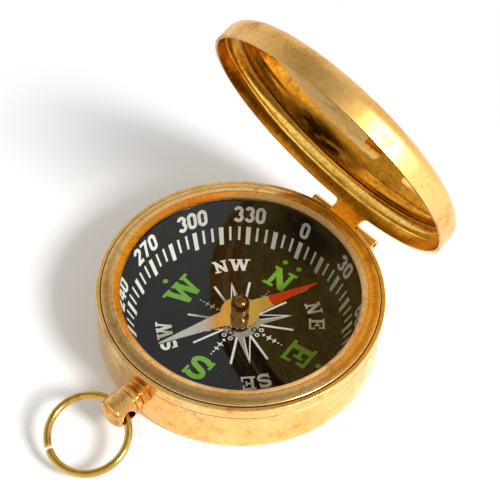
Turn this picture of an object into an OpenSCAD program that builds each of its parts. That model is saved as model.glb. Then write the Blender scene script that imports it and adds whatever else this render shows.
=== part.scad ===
// Lidded brass pocket compass, standing open on its base.
// Units are millimetres. The origin is the middle of the base, on the table.
// +Z is up, +Y points to the lid hinge and -Y to the bow ring. The hinge axis runs along X.

/* [Case] */
// Outer diameter of the case
case_d = 45; // [40:0.5:60]
// Height of the ledge that the closed lid meets, above the table
case_h = 10.4; // [9.8:0.1:13]
// Thickness of the cup's wall
case_wall = 0.8; // [0.7:0.05:1]
// Thickness of the cup's floor
case_floor = 0.6; // [0.5:0.05:0.9]
// Radius of the rounded edge at the foot of the case
foot_round = 1; // [0.4:0.1:1.6]
// Height of the collar that closes the top of the cup
collar_h = 2; // [1.6:0.1:2.4]
// Wall of the collar round the glass
collar_wall = 2.05; // [1.9:0.05:2.6]
// Depth of the collar's spigot inside the cup
spigot_h = 1; // [0.6:0.1:1.2]
// Width of the ledge outside the bezel
ledge_w = 0.8; // [0.7:0.05:1]
// Chamfer of the two edges that meet at the seam
seam_cut = 0.12; // [0.06:0.02:0.2]
// Chamfer of the ledge's outer edge
ledge_cut = 0.1; // [0.06:0.02:0.14]

/* [Bezel and glass] */
// Width of the bezel from its edge to the sight opening
bezel_w = 2.9; // [2.7:0.05:4]
// Depth of the bezel's seat below the ledge
bezel_sink = 0.45; // [0.3:0.05:0.6]
// Height of the bezel's crest above the ledge
bezel_crest = 0.5; // [0.4:0.05:0.9]
// Distance of the crest from the bezel's edge
bezel_crest_at = 1.75; // [1.4:0.05:2]
// Radius of the crest
bezel_crest_round = 0.5; // [0.3:0.1:0.8]
// Height of the bezel's edge above the ledge
bezel_edge_h = 0.24; // [0.2:0.02:0.3]
// Radius of the bezel's edge
bezel_edge_round = 0.18; // [0.1:0.02:0.2]
// Thickness of the bezel at the sight opening
bezel_lip = 0.4; // [0.25:0.05:0.5]
// Thickness of the glass
glass_t = 1; // [0.8:0.1:1.4]
// Thickness of the gasket under the glass
gasket_t = 0.25; // [0.2:0.05:0.4]
// Width of the gasket
gasket_w = 0.7; // [0.5:0.1:1]

/* [Dial] */
// Thickness of the printed dial
dial_t = 0.2; // [0.15:0.05:0.4]
// Thickness of the backing plate under the dial
backing_t = 0.3; // [0.2:0.05:0.5]
// Rise of the conical degree ring, degrees above level
ring_slope = 65.6; // [62:0.2:72]
// Thickness of the degree ring, measured level
ring_t = 0.4; // [0.3:0.05:0.6]
// Width of the foot that clamps the dial
ring_foot_w = 1; // [0.8:0.1:1.5]
// Thickness of that foot
ring_foot_t = 0.4; // [0.3:0.05:0.6]

/* [Needle] */
// Height of the needle above the dial
needle_lift = 2.7; // [2.4:0.1:3]
// Length of the needle from tip to tip
needle_len = 28.2; // [22:0.2:31]
// Diameter of the disc in the middle of the needle
needle_disc_d = 6.2; // [5:0.1:8]
// Width of each arm where it leaves the disc
needle_root_w = 2.8; // [2:0.1:3.6]
// Width of the needle at its tips
needle_tip_w = 0.25; // [0.2:0.05:0.6]
// Thickness of the needle
needle_t = 0.25; // [0.2:0.05:0.4]
// Turn of the needle's north arm from the hinge, degrees anticlockwise
needle_turn = -16.8; // [-180:0.1:180]
// Diameter of the needle's cap
cap_d = 3; // [2.6:0.1:3.6]
// Height of the domed cap above the needle
cap_h = 3.8; // [3.5:0.05:4.1]
// Diameter of the cap's neck on the needle
cap_neck_d = 2.2; // [2.15:0.05:2.5]
// Height of that neck
cap_neck_h = 0.85; // [0.5:0.05:1]
// Diameter of the cap's rivet shank in the needle
cap_shank_d = 1.9; // [1.75:0.05:2]
// Length of the rivet shank below the needle
cap_shank_h = 0.7; // [0.5:0.05:0.9]
// Diameter of the jewel inside the cap
jewel_d = 1.3; // [1.1:0.05:1.4]
// Height of the jewel
jewel_h = 0.8; // [0.6:0.05:0.9]
// Diameter of the hollow in the jewel at its mouth
jewel_mouth_d = 1; // [0.8:0.05:1.05]

/* [Pivot] */
// Diameter of the steel pivot pin
pin_d = 0.66; // [0.5:0.02:0.8]
// Length of the ground point of the pin
pin_point_h = 0.9; // [0.7:0.05:1.1]
// Diameter at the very tip of the pin
pin_tip_d = 0.1; // [0.06:0.02:0.14]
// Gap between the pin's tip and the bottom of the jewel's hollow
pin_gap = 0.03; // [0.02:0.01:0.06]
// Diameter of the boss's flange on the dial
boss_flange_d = 3.6; // [3:0.1:4.6]
// Thickness of the boss's flange
boss_flange_t = 0.4; // [0.3:0.05:0.6]
// Diameter of the boss's neck above the flange
boss_neck_d = 2.2; // [1.8:0.1:2.6]
// Diameter of the boss at its top
boss_top_d = 1.4; // [1.2:0.05:1.6]
// Height of the boss above the dial
boss_h = 1.7; // [1.4:0.05:1.9]
// Diameter of the boss's shank through the dial and into the floor
boss_shank_d = 1.8; // [1.4:0.1:2.2]
// Depth of the shank's blind seat in the floor
boss_seat = 0.3; // [0.2:0.05:0.4]

/* [Lid] */
// Opening of the lid in the photographed pose, degrees from closed
lid_open = 67.2; // [0:0.1:180]
// Distance that the lid stands out past the case
lid_over = 0.2; // [0.1:0.05:0.4]
// Depth of the lid from its lip to the flat of its top
lid_depth = 4.5; // [4:0.1:7]
// Thickness of the lid
lid_wall = 0.45; // [0.4:0.05:0.6]
// Outer radius of the lid's shoulder
lid_shoulder = 2.2; // [1.4:0.1:3]
// Rise of the lid's crowned top
lid_crown = 0.4; // [0.2:0.1:1]
// Gap between the closed lid and the ledge
lid_gap = 0.05; // [0.03:0.01:0.2]
// Distance from the lip to the line turned inside the lid
groove_at = 1.7; // [1:0.1:2]
// Width of that line
groove_w = 0.4; // [0.2:0.05:0.6]
// Depth of that line
groove_depth = 0.12; // [0.06:0.02:0.2]

/* [Hinge] */
// Distance of the hinge axis outside the case
hinge_out = 0.9; // [0.88:0.01:1.2]
// Height of the hinge axis below the ledge
hinge_drop = 2.1; // [1.9:0.05:2.4]
// Outer diameter of the knuckles
knuckle_d = 1.7; // [1.5:0.05:1.74]
// Diameter of the hinge pin
hinge_pin_d = 0.8; // [0.6:0.05:0.9]
// Distance that the hinge pin stops inside the end of each outer knuckle
hinge_pin_in = 0.35; // [0.2:0.05:0.8]
// Width of the lid's tab and of the knuckle that it carries
tab_w = 5.6; // [4.4:0.1:6.4]
// Radius where the tab flows into the lip of the lid
tab_fillet = 0.9; // [0.6:0.05:1]
// Length of the tab below the hinge axis
tab_drop = 0.4; // [0.2:0.05:0.5]
// Length of each knuckle on the case
case_knuckle_w = 4; // [3:0.1:5]
// Height of the soldered feet of the case's knuckles
knuckle_foot_h = 0.9; // [0.7:0.05:1.3]
// Gap between neighbouring knuckles
knuckle_gap = 0.1; // [0.06:0.02:0.2]

/* [Pendant] */
// Turn of the pendant from the line opposite the hinge, degrees anticlockwise
pendant_turn = 3.6; // [-10:0.1:10]
// Distance of the pendant's axis below the collar's seam
pendant_drop = 3; // [2.8:0.1:3.4]
// Diameter of the washer against the case
washer_d = 4; // [3.6:0.1:4.8]
// Thickness of the washer
washer_t = 0.6; // [0.5:0.05:0.8]
// Diameter of the neck between washer and knob
neck_d = 3; // [2.4:0.1:3.4]
// Length of the neck
neck_t = 0.3; // [0.25:0.05:0.5]
// Diameter of the knob
knob_d = 4.8; // [4.4:0.1:5.2]
// Length of the knob's straight drum
knob_drum_t = 4.6; // [4.6:0.1:5.2]
// Rise of the knob's domed end
knob_dome = 0.5; // [0.3:0.1:0.9]
// Rounding of the knob's edges
knob_round = 0.25; // [0.2:0.05:0.5]
// Distance from the drum's inner end to the turned line
knob_line_at = 1.1; // [0.7:0.05:1.3]
// Width and depth of the turned line
knob_line = 0.2; // [0.1:0.02:0.24]
// Distance from the drum's inner end to the middle of the bow's hole
bow_hole_at = 3.05; // [2.95:0.05:3.1]
// Diameter of the bow's hole at its throat
bow_hole_d = 2.1; // [2:0.05:2.2]
// Diameter of the bow's hole at its flared mouths
bow_mouth_d = 2.5; // [2.45:0.05:2.6]
// Diameter of the threaded stud
stud_d = 1.6; // [1.4:0.1:1.8]
// Length of the stud inside the knob and its neck
stud_in_knob = 1.2; // [0.8:0.1:1.3]
// Width across the flats of the nut
nut_flats = 3; // [2.6:0.1:3.2]
// Thickness of the nut
nut_t = 0.9; // [0.7:0.05:1]
// Length of the stud past the nut
stud_past_nut = 0.2; // [0.1:0.05:0.4]

/* [Bow ring] */
// Diameter of the bow ring, measured at the middle of its wire
bow_d = 12.1; // [11.5:0.1:15]
// Diameter of the wire
bow_wire_d = 1.2; // [1:0.05:1.3]
// Width of the split in the ring
bow_split = 0.65; // [0.3:0.05:1.2]
// Place of the split, degrees round the ring from its far end
bow_split_at = 21; // [-60:1:60]
// Turn of the loose ring in the hole, degrees
bow_turn = -7; // [-7:1:7]
// Lean of the loose ring in the hole, degrees
bow_lean = -5; // [-5:1:5]
// Distance that the wire lies inwards of the middle of the hole
bow_push = 0.32; // [0.28:0.01:0.36]
// Height of the ring's far end above the table
table_gap = 2; // [0.05:0.05:2.4]

/* [Hidden] */
// Clearance between pieces that are pressed, soldered or screwed together
fit = 0.02;
// Running clearance of the lid's knuckle on the hinge pin
run = 0.03;
// Clearance of loose pieces that drop into a bore
drop_fit = 0.05;
// Clearance round the lid's tab in its recess
recess_gap = 0.15;
// Small overlap that lets one cut or join run past a face
over = 0.1;
// Facets on the large and the small round faces, and on the large cut through a small piece
$fn = 96;
fine_fn = 48;
tiny_fn = 24;
cut_fn = 384;
arc_steps = 8;

case_r = case_d / 2;
cup_r = case_r - case_wall;
seam_z = case_h - collar_h;
spigot_r = cup_r - fit;
bore_r = case_r - collar_wall;
bezel_r = case_r - ledge_w;
bezel_hole_r = bezel_r - bezel_w;
bezel_z = case_h - bezel_sink;
bezel_top = case_h + bezel_crest;

glass_r = bore_r - drop_fit;
gasket_z = bezel_z - glass_t - gasket_t;
dial_z = case_floor + backing_t;
dial_top = dial_z + dial_t;
ring_h = gasket_z - dial_top;
ring_top_r = glass_r - ring_t;
ring_foot_r = ring_top_r - ring_h / tan(ring_slope);
dial_r = ring_foot_r + ring_t + ring_foot_w + fit;

needle_z = dial_top + needle_lift;
needle_top = needle_z + needle_t;
cap_top = needle_top + cap_h;
cap_bottom = needle_z - cap_shank_h;
cap_roof = 0.8;
cap_rivet_t = 0.2;
cap_rivet_out = 0.3;
jewel_roof = 0.2;
pin_seat_h = 0.2;
jewel_top = cap_top - cap_roof;
jewel_hollow_top = jewel_top - jewel_roof;
pin_top = jewel_hollow_top - pin_gap;
boss_top = dial_top + boss_h;
boss_bottom = case_floor - boss_seat;
pin_seat = dial_top + pin_seat_h;

lid_r = case_r + lid_over;
lid_in_r = lid_r - lid_wall;
lip_z = case_h + lid_gap;
lid_top = lip_z + lid_depth;
hinge_y = case_r + hinge_out;
hinge_z = case_h - hinge_drop;
knuckle_r = knuckle_d / 2;
hinge_pin_r = hinge_pin_d / 2;
tab_z = hinge_z - tab_drop;
tab_corner_y = hinge_y - sqrt(lid_in_r * lid_in_r - tab_w * tab_w / 4);
tab_sweep = sqrt(tab_corner_y * tab_corner_y + tab_drop * tab_drop);
recess_r = sqrt(pow(hinge_y - tab_sweep, 2) + tab_w * tab_w / 4) - drop_fit;
case_knuckle_x = tab_w / 2 + knuckle_gap;
hinge_pin_len = 2 * (case_knuckle_x + case_knuckle_w - hinge_pin_in);

pendant_z = seam_z - pendant_drop;
washer_y = case_r + washer_t;
knob_y = washer_y + neck_t;
bow_hole_y = knob_y + bow_hole_at;
stud_r = stud_d / 2;
nut_chord = nut_flats / cos(30) / 2;
nut_y = sqrt(cup_r * cup_r - nut_chord * nut_chord) - fit;

bow_r = bow_d / 2;
wire_r = bow_wire_d / 2;
bow_reach = bow_r - bow_push;
bow_far = bow_reach * cos(bow_turn) + bow_r;
bow_tilt = asin((pendant_z - wire_r - table_gap) / bow_far);
bow_split_angle = bow_split / bow_r * 180 / PI;

brass = [0.76, 0.57, 0.25];
bright_brass = [0.86, 0.68, 0.36];
steel = [0.7, 0.7, 0.72];
dark_print = [0.06, 0.06, 0.06];

// Points of an arc round [x, z], from angle a0 to angle a1.
function arc(x, z, r, a0, a1) = [
    for (i = [0:arc_steps]) let (a = a0 + (a1 - a0) * i / arc_steps)
        [x + r * cos(a), z + r * sin(a)]
];

// Points of the crowned top of the lid, from the middle out or back in.
function crown(z, r, i0, i1) = [
    for (i = [i0:sign(i1 - i0):i1]) let (x = r * i / arc_steps)
        [x, z + lid_crown * (1 - pow(x / r, 2))]
];

// A disc with a hole, standing on height z.
module washer(r, hole_r, z, h) {
    translate([0, 0, z])
        difference() {
            cylinder(r = r, h = h);
            translate([0, 0, -over]) cylinder(r = hole_r, h = h + 2 * over, $fn = fine_fn);
        }
}

// Turns what is drawn for the closed lid about the hinge axis.
module on_lid() {
    translate([0, hinge_y, hinge_z])
        rotate([-lid_open, 0, 0])
            translate([0, -hinge_y, -hinge_z]) children();
}

// Turns what is drawn along +Z into the pendant, which points out of the case.
module on_pendant() {
    rotate([0, 0, pendant_turn])
        translate([0, 0, pendant_z])
            rotate([90, 0, 0]) children();
}

// A bar along X through the hinge axis.
module hinge_bar(r, x0, x1) {
    translate([x0, hinge_y, hinge_z])
        rotate([0, 90, 0]) cylinder(r = r, h = x1 - x0, $fn = fine_fn);
}

// Face of the lid's tab, seen from outside the case, with both fillets up to the lip.
module tab_face(grow) {
    half = tab_w / 2 + grow;
    top = lip_z + lid_gap;
    translate([-half, tab_z - grow]) square([2 * half, top - tab_z + grow]);
    for (side = [-1, 1])
        difference() {
            translate([side > 0 ? half - over : -half - tab_fillet, lip_z - tab_fillet - grow])
                square([tab_fillet + over, tab_fillet + grow + lid_gap]);
            translate([side * (half + tab_fillet), lip_z - tab_fillet - grow])
                circle(r = tab_fillet, $fn = fine_fn);
        }
}

// Space in the case's wall that takes the tab when the lid is shut.
module hinge_recess() {
    difference() {
        translate([0, case_r + over, 0])
            rotate([90, 0, 0]) linear_extrude(case_r - recess_r + 2 * over) tab_face(recess_gap);
        cylinder(r = recess_r, h = case_h + over);
    }
}

// Body: case

module case_cup() {
    color(brass)
    difference() {
        rotate_extrude()
            polygon(concat(
                [[0, 0]],
                arc(case_r - foot_round, foot_round, foot_round, -90, 0),
                [[case_r, seam_z - seam_cut], [case_r - seam_cut, seam_z], [cup_r, seam_z],
                    [cup_r, case_floor], [0, case_floor]]));
        translate([0, 0, boss_bottom])
            cylinder(r = boss_shank_d / 2 + fit, h = case_floor, $fn = fine_fn);
        on_pendant()
            translate([0, 0, nut_y])
                cylinder(r = stud_r + fit, h = washer_y - nut_y, $fn = fine_fn);
        hinge_recess();
    }
}

module case_collar() {
    color(brass)
    difference() {
        rotate_extrude()
            polygon([
                [case_r - seam_cut, seam_z], [case_r, seam_z + seam_cut],
                [case_r, case_h - ledge_cut], [case_r - ledge_cut, case_h],
                [bezel_r + fit, case_h], [bezel_r + fit, bezel_z],
                [bore_r, bezel_z], [bore_r, seam_z - spigot_h], [spigot_r, seam_z - spigot_h],
                [spigot_r, seam_z]]);
        hinge_recess();
    }
}

module bezel_ring() {
    edge_top = case_h + bezel_edge_h;
    crest_r = bezel_r - bezel_crest_at;
    lip_top = bezel_z + bezel_lip;
    rise = atan((bezel_top - edge_top) / bezel_crest_at);
    fall = atan((bezel_top - lip_top) / (crest_r - bezel_hole_r));
    color(bright_brass)
    rotate_extrude()
        polygon(concat(
            [[bezel_hole_r, bezel_z], [bezel_r, bezel_z]],
            arc(bezel_r - bezel_edge_round, edge_top - bezel_edge_round, bezel_edge_round, 0, 90 - rise),
            arc(crest_r, bezel_top - bezel_crest_round, bezel_crest_round, 90 - rise, 90 + fall),
            [[bezel_hole_r, lip_top]]));
}

module glass_crystal() {
    color([0.9, 0.95, 0.97, 0.3])
    translate([0, 0, bezel_z - glass_t]) cylinder(r = glass_r, h = glass_t);
}

module glass_gasket() {
    color(dark_print)
    washer(glass_r, glass_r - gasket_w, gasket_z, gasket_t);
}

module degree_ring() {
    foot_out = ring_foot_r + ring_t + ring_foot_w;
    foot_join = ring_foot_t / tan(ring_slope);
    color(dark_print)
    rotate_extrude()
        polygon([
            [ring_foot_r, dial_top], [foot_out, dial_top], [foot_out, dial_top + ring_foot_t],
            [ring_foot_r + ring_t + foot_join, dial_top + ring_foot_t],
            [ring_top_r + ring_t, gasket_z], [ring_top_r, gasket_z]]);
}

module dial_disc() {
    color(dark_print)
    washer(dial_r, boss_shank_d / 2 + fit, dial_z, dial_t);
}

module dial_backing() {
    color(brass)
    washer(dial_r, boss_shank_d / 2 + fit, case_floor, backing_t);
}

module pivot_boss() {
    flange_top = dial_top + boss_flange_t;
    color(brass)
    rotate_extrude($fn = fine_fn)
        polygon([
            [0, boss_bottom], [boss_shank_d / 2, boss_bottom], [boss_shank_d / 2, dial_top],
            [boss_flange_d / 2, dial_top], [boss_flange_d / 2, flange_top],
            [boss_neck_d / 2, flange_top], [boss_top_d / 2, boss_top],
            [pin_d / 2 + fit, boss_top], [pin_d / 2 + fit, pin_seat], [0, pin_seat]]);
}

module pivot_pin() {
    color(steel)
    rotate_extrude($fn = tiny_fn)
        polygon([
            [0, pin_seat], [pin_d / 2, pin_seat], [pin_d / 2, pin_top - pin_point_h],
            [pin_tip_d / 2, pin_top], [0, pin_top]]);
}

module case_knuckle(side) {
    x0 = side > 0 ? case_knuckle_x : -case_knuckle_x - case_knuckle_w;
    x1 = x0 + case_knuckle_w;
    foot_in = hinge_out + case_r - sqrt(case_r * case_r - pow(case_knuckle_x + case_knuckle_w, 2));
    color(brass)
    difference() {
        union() {
            hinge_bar(knuckle_r, x0, x1);
            translate([x0, hinge_y - foot_in, hinge_z - knuckle_foot_h / 2])
                cube([case_knuckle_w, foot_in, knuckle_foot_h]);
        }
        cylinder(r = case_r + fit, h = case_h + over, $fn = cut_fn);
        hinge_bar(hinge_pin_r + fit, x0 - over, x1 + over);
    }
}

module case_knuckle_left() {
    case_knuckle(-1);
}

module case_knuckle_right() {
    case_knuckle(1);
}

module hinge_pin() {
    color(steel)
    hinge_bar(hinge_pin_r, -hinge_pin_len / 2, hinge_pin_len / 2);
}

module pendant_washer() {
    color(bright_brass)
    difference() {
        on_pendant()
            translate([0, 0, cup_r])
                difference() {
                    cylinder(d = washer_d, h = washer_y - cup_r, $fn = fine_fn);
                    translate([0, 0, -over])
                        cylinder(r = stud_r + fit, h = washer_y - cup_r + 2 * over, $fn = fine_fn);
                }
        cylinder(r = case_r + fit, h = case_h, $fn = cut_fn);
    }
}

module pendant_knob() {
    drum_r = knob_d / 2;
    drum_end = knob_y + knob_drum_t;
    line_y = knob_y + knob_line_at;
    dome_r = (pow(drum_r, 2) + pow(knob_dome, 2)) / (2 * knob_dome);
    dome_edge = asin((drum_r - knob_round) / dome_r);
    color(bright_brass)
    difference() {
        on_pendant()
            rotate_extrude($fn = fine_fn)
                polygon(concat(
                    [[stud_r + fit, washer_y], [neck_d / 2, washer_y], [neck_d / 2, knob_y]],
                    arc(drum_r - knob_round, knob_y + knob_round, knob_round, -90, 0),
                    [[drum_r, line_y], [drum_r - knob_line, line_y + knob_line / 2],
                        [drum_r, line_y + knob_line]],
                    arc(drum_r - knob_round, drum_end - knob_round, knob_round, 0, 90 - dome_edge),
                    [for (i = [1:arc_steps]) let (a = dome_edge * (1 - i / arc_steps))
                        [dome_r * sin(a), drum_end + knob_dome - dome_r * (1 - cos(a))]],
                    [[0, washer_y + stud_in_knob], [stud_r + fit, washer_y + stud_in_knob]]));
        for (side = [-1, 1])
            on_pendant()
                translate([0, 0, bow_hole_y])
                    rotate([0, side * 90, 0])
                        translate([0, 0, -over])
                            cylinder(d1 = bow_hole_d - over * (bow_mouth_d - bow_hole_d) / drum_r,
                                d2 = bow_mouth_d, h = drum_r + over, $fn = fine_fn);
    }
}

module pendant_stud() {
    stud_start = nut_y - nut_t - stud_past_nut;
    color(steel)
    on_pendant()
        translate([0, 0, stud_start])
            cylinder(r = stud_r, h = washer_y + stud_in_knob - fit - stud_start, $fn = fine_fn);
}

module pendant_nut() {
    color(steel)
    on_pendant()
        translate([0, 0, nut_y - nut_t])
            difference() {
                rotate([0, 0, 30]) cylinder(d = nut_flats / cos(30), h = nut_t, $fn = 6);
                translate([0, 0, -over])
                    cylinder(r = stud_r + fit, h = nut_t + 2 * over, $fn = fine_fn);
            }
}

// Body: needle

module needle() {
    tip = needle_len / 2;
    disc_r = needle_disc_d / 2;
    root = sqrt(disc_r * disc_r - needle_root_w * needle_root_w / 4);
    color(bright_brass)
    rotate([0, 0, needle_turn])
        translate([0, 0, needle_z])
            linear_extrude(needle_t)
                difference() {
                    union() {
                        circle(r = disc_r, $fn = fine_fn);
                        polygon([
                            [needle_tip_w / 2, tip], [-needle_tip_w / 2, tip],
                            [-needle_root_w / 2, root], [-needle_root_w / 2, -root],
                            [-needle_tip_w / 2, -tip], [needle_tip_w / 2, -tip],
                            [needle_root_w / 2, -root], [needle_root_w / 2, root]]);
                    }
                    circle(d = cap_shank_d + 2 * fit, $fn = fine_fn);
                }
}

module needle_cap() {
    cap_r = cap_d / 2;
    neck = cap_neck_d / 2;
    neck_top = needle_top + cap_neck_h;
    bore = jewel_d / 2 + fit;
    shank = cap_shank_d / 2;
    rivet_z = needle_z - cap_rivet_t;
    color(bright_brass)
    rotate_extrude($fn = fine_fn)
        polygon(concat(
            [[bore, cap_bottom], [shank, cap_bottom], [shank, rivet_z],
                [shank + cap_rivet_out, rivet_z], [shank + cap_rivet_out, needle_z],
                [shank, needle_z], [shank, needle_top], [neck, needle_top],
                [neck, neck_top - cap_r + neck], [cap_r, neck_top]],
            arc(0, cap_top - cap_r, cap_r, 0, 90),
            [[0, jewel_top], [bore, jewel_top]]));
}

module needle_jewel() {
    color([0.6, 0.08, 0.12])
    rotate_extrude($fn = tiny_fn)
        polygon([
            [jewel_mouth_d / 2, jewel_top - jewel_h], [jewel_d / 2, jewel_top - jewel_h],
            [jewel_d / 2, jewel_top], [0, jewel_top], [0, jewel_hollow_top],
            [pin_tip_d, jewel_hollow_top]]);
}

// Body: lid

module lid_shell() {
    flat_r = lid_r - lid_shoulder;
    bend_z = lid_top - lid_shoulder;
    line_z = lip_z + groove_at;
    inner_bend = lid_shoulder - lid_wall;
    color(brass)
    on_lid()
        difference() {
            union() {
                rotate_extrude()
                    polygon(concat(
                        [[lid_in_r, lip_z], [lid_r, lip_z]],
                        arc(flat_r, bend_z, lid_shoulder, 0, 90),
                        crown(lid_top, flat_r, arc_steps - 1, 0),
                        crown(lid_top - lid_wall, flat_r, 0, arc_steps - 1),
                        arc(flat_r, bend_z, inner_bend, 90, 0),
                        [[lid_in_r, line_z + groove_w],
                            [lid_in_r + groove_depth, line_z + groove_w / 2], [lid_in_r, line_z]]));
                intersection() {
                    difference() {
                        translate([0, 0, tab_z]) cylinder(r = lid_r, h = lip_z + lid_gap - tab_z);
                        cylinder(r = lid_in_r, h = lid_top);
                    }
                    translate([0, lid_r + over, 0])
                        rotate([90, 0, 0]) linear_extrude(lid_r) tab_face(0);
                }
            }
            hinge_bar(knuckle_r + fit, -lid_r, lid_r);
        }
}

module lid_knuckle() {
    color(brass)
    difference() {
        hinge_bar(knuckle_r, -tab_w / 2, tab_w / 2);
        hinge_bar(hinge_pin_r + run, -tab_w / 2 - over, tab_w / 2 + over);
    }
}

// Body: bow

module bow_ring() {
    color(brass)
    on_pendant()
        translate([0, 0, bow_hole_y])
            rotate([bow_tilt, 0, 0])
                rotate([0, 0, bow_lean])
                    rotate([0, bow_turn, 0])
                        translate([0, 0, bow_reach])
                            rotate([90, -90, 0])
                                rotate([0, 0, bow_split_at + bow_split_angle / 2])
                                    rotate_extrude(angle = 360 - bow_split_angle)
                                        translate([bow_r, 0]) circle(r = wire_r, $fn = tiny_fn);
}

case_cup();
case_collar();
bezel_ring();
glass_crystal();
glass_gasket();
degree_ring();
dial_disc();
dial_backing();
pivot_boss();
pivot_pin();
needle();
needle_cap();
needle_jewel();
lid_shell();
lid_knuckle();
case_knuckle_left();
case_knuckle_right();
hinge_pin();
pendant_washer();
pendant_knob();
pendant_stud();
pendant_nut();
bow_ring();
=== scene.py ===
"""Looks of a lidded brass pocket compass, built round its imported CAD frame.

Lengths in the classes are millimetres. MM turns them to metres where a mesh or a pattern is made.
"""
import logging
import math
from collections.abc import Callable, Iterable, Iterator, Sequence
from contextlib import contextmanager
from dataclasses import dataclass, field
from enum import Enum

import bpy
from mathutils import Matrix, Vector


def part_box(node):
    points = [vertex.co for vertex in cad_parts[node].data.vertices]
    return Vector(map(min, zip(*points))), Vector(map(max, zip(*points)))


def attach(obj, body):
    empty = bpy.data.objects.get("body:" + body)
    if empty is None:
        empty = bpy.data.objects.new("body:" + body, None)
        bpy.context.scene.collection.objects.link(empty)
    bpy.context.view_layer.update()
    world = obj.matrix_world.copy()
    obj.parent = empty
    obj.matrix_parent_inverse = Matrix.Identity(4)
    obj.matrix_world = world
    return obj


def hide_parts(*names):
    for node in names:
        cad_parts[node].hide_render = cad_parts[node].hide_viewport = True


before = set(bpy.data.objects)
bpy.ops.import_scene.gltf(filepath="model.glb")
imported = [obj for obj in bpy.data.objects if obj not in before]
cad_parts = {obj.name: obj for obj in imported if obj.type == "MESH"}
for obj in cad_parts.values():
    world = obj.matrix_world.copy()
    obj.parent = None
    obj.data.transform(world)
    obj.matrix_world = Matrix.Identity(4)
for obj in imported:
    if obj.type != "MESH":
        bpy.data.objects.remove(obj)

LOG = logging.getLogger("compass")
MM = 0.001
LAYER = 0.004  # millimetres between strokes that cross
WELD = 1e-6  # metres within which corners are one
SHARP = 32.0  # degrees from which an edge stays sharp
MITRE = 0.5  # cosine below which a corner's mitre grows no longer
TINY = 1e-9  # millimetres that count as no length
WHITE = "#ffffff"
Material = bpy.types.Material
Node = bpy.types.Node
Piece = bpy.types.Object
Socket = bpy.types.NodeSocket
Flat = tuple[float, float]
Spot = tuple[float, float, float]
Place = Callable[[float, float], Vector]


class Body(str, Enum):
    """The moving bodies of the compass."""

    CASE = "case"
    NEEDLE = "needle"
    LID = "lid"
    BOW = "bow"


class Slot(str, Enum):
    """The record's material slots."""

    CASE_BRASS = "case_brass"
    TURNED_BRASS = "turned_brass"
    LID_BRASS = "lid_brass"
    NEEDLE_BRASS = "needle_brass"
    GLASS = "glass"
    GASKET = "gasket"
    PRINTED_BLACK = "printed_black"
    STEEL = "steel"
    JEWEL = "jewel"


class Lift(float, Enum):
    """How many inks thick each print lies above the dial."""

    FLAT = 1.0
    CHAIN = 1.15
    KITE = 1.2
    LINE = 1.3
    HUB = 1.4
    EYE = 1.6


def linear(hex_colour: str) -> tuple[float, float, float, float]:
    """Turn an sRGB hex colour to linear light.

    Args:
        hex_colour: Six hex digits with a leading #.

    Returns:
        Red, green, blue and an alpha of one.
    """
    values = [int(hex_colour[i:i + 2], 16) / 255 for i in (1, 3, 5)]
    red, green, blue = [v / 12.92 if v <= 0.04045 else ((v + 0.055) / 1.055) ** 2.4 for v in values]
    return red, green, blue, 1.0


def add_node(material: bpy.types.ID, kind: str, links: dict[str, Socket] | None = None,
             **settings: object) -> Node:
    """Add a shader node with its settings and links.

    Args:
        material: The material or world whose tree takes the node.
        kind: The node's type name, without the ShaderNode prefix.
        links: Input name to the output socket that feeds it.
        **settings: Node properties, or inputs with their values, by number or by name (spaces as underscores).

    Returns:
        The new node.
    """
    tree = material.node_tree
    node = tree.nodes.new("ShaderNode" + kind)
    late = {}
    for key, value in settings.items():
        if hasattr(node, key):
            setattr(node, key, value)
        else:
            late[key.replace("_", " ")] = value
    for key, value in late.items():
        node.inputs[int(key) if key.isdigit() else key].default_value = value
    for key, source in (links or {}).items():
        tree.links.new(source, node.inputs[int(key) if key.isdigit() else key])
    return node


def set_ramp(node: Node, stops: Sequence[tuple[float, str]]) -> None:
    """Give a colour ramp its stops.

    Args:
        node: The ramp node.
        stops: Positions with sRGB hex colours, from low to high.
    """
    ramp = node.color_ramp
    while len(ramp.elements) < len(stops):
        ramp.elements.new(0.5)
    for element, (place, colour) in zip(ramp.elements, stops):
        element.position = place
        element.color = linear(colour)


def new_material(name: str) -> Material:
    """Make an empty node material.

    Args:
        name: The finish's name.

    Returns:
        The material, with no nodes in its tree.
    """
    material = bpy.data.materials.new(name)
    material.use_nodes = True
    material.node_tree.nodes.clear()
    return material


def close_surface(material: Material, shader: Node) -> Material:
    """Lead a shader's first output to the material's surface, and return the material."""
    add_node(material, "OutputMaterial", {"Surface": shader.outputs[0]})
    return material


# Finishes

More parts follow.
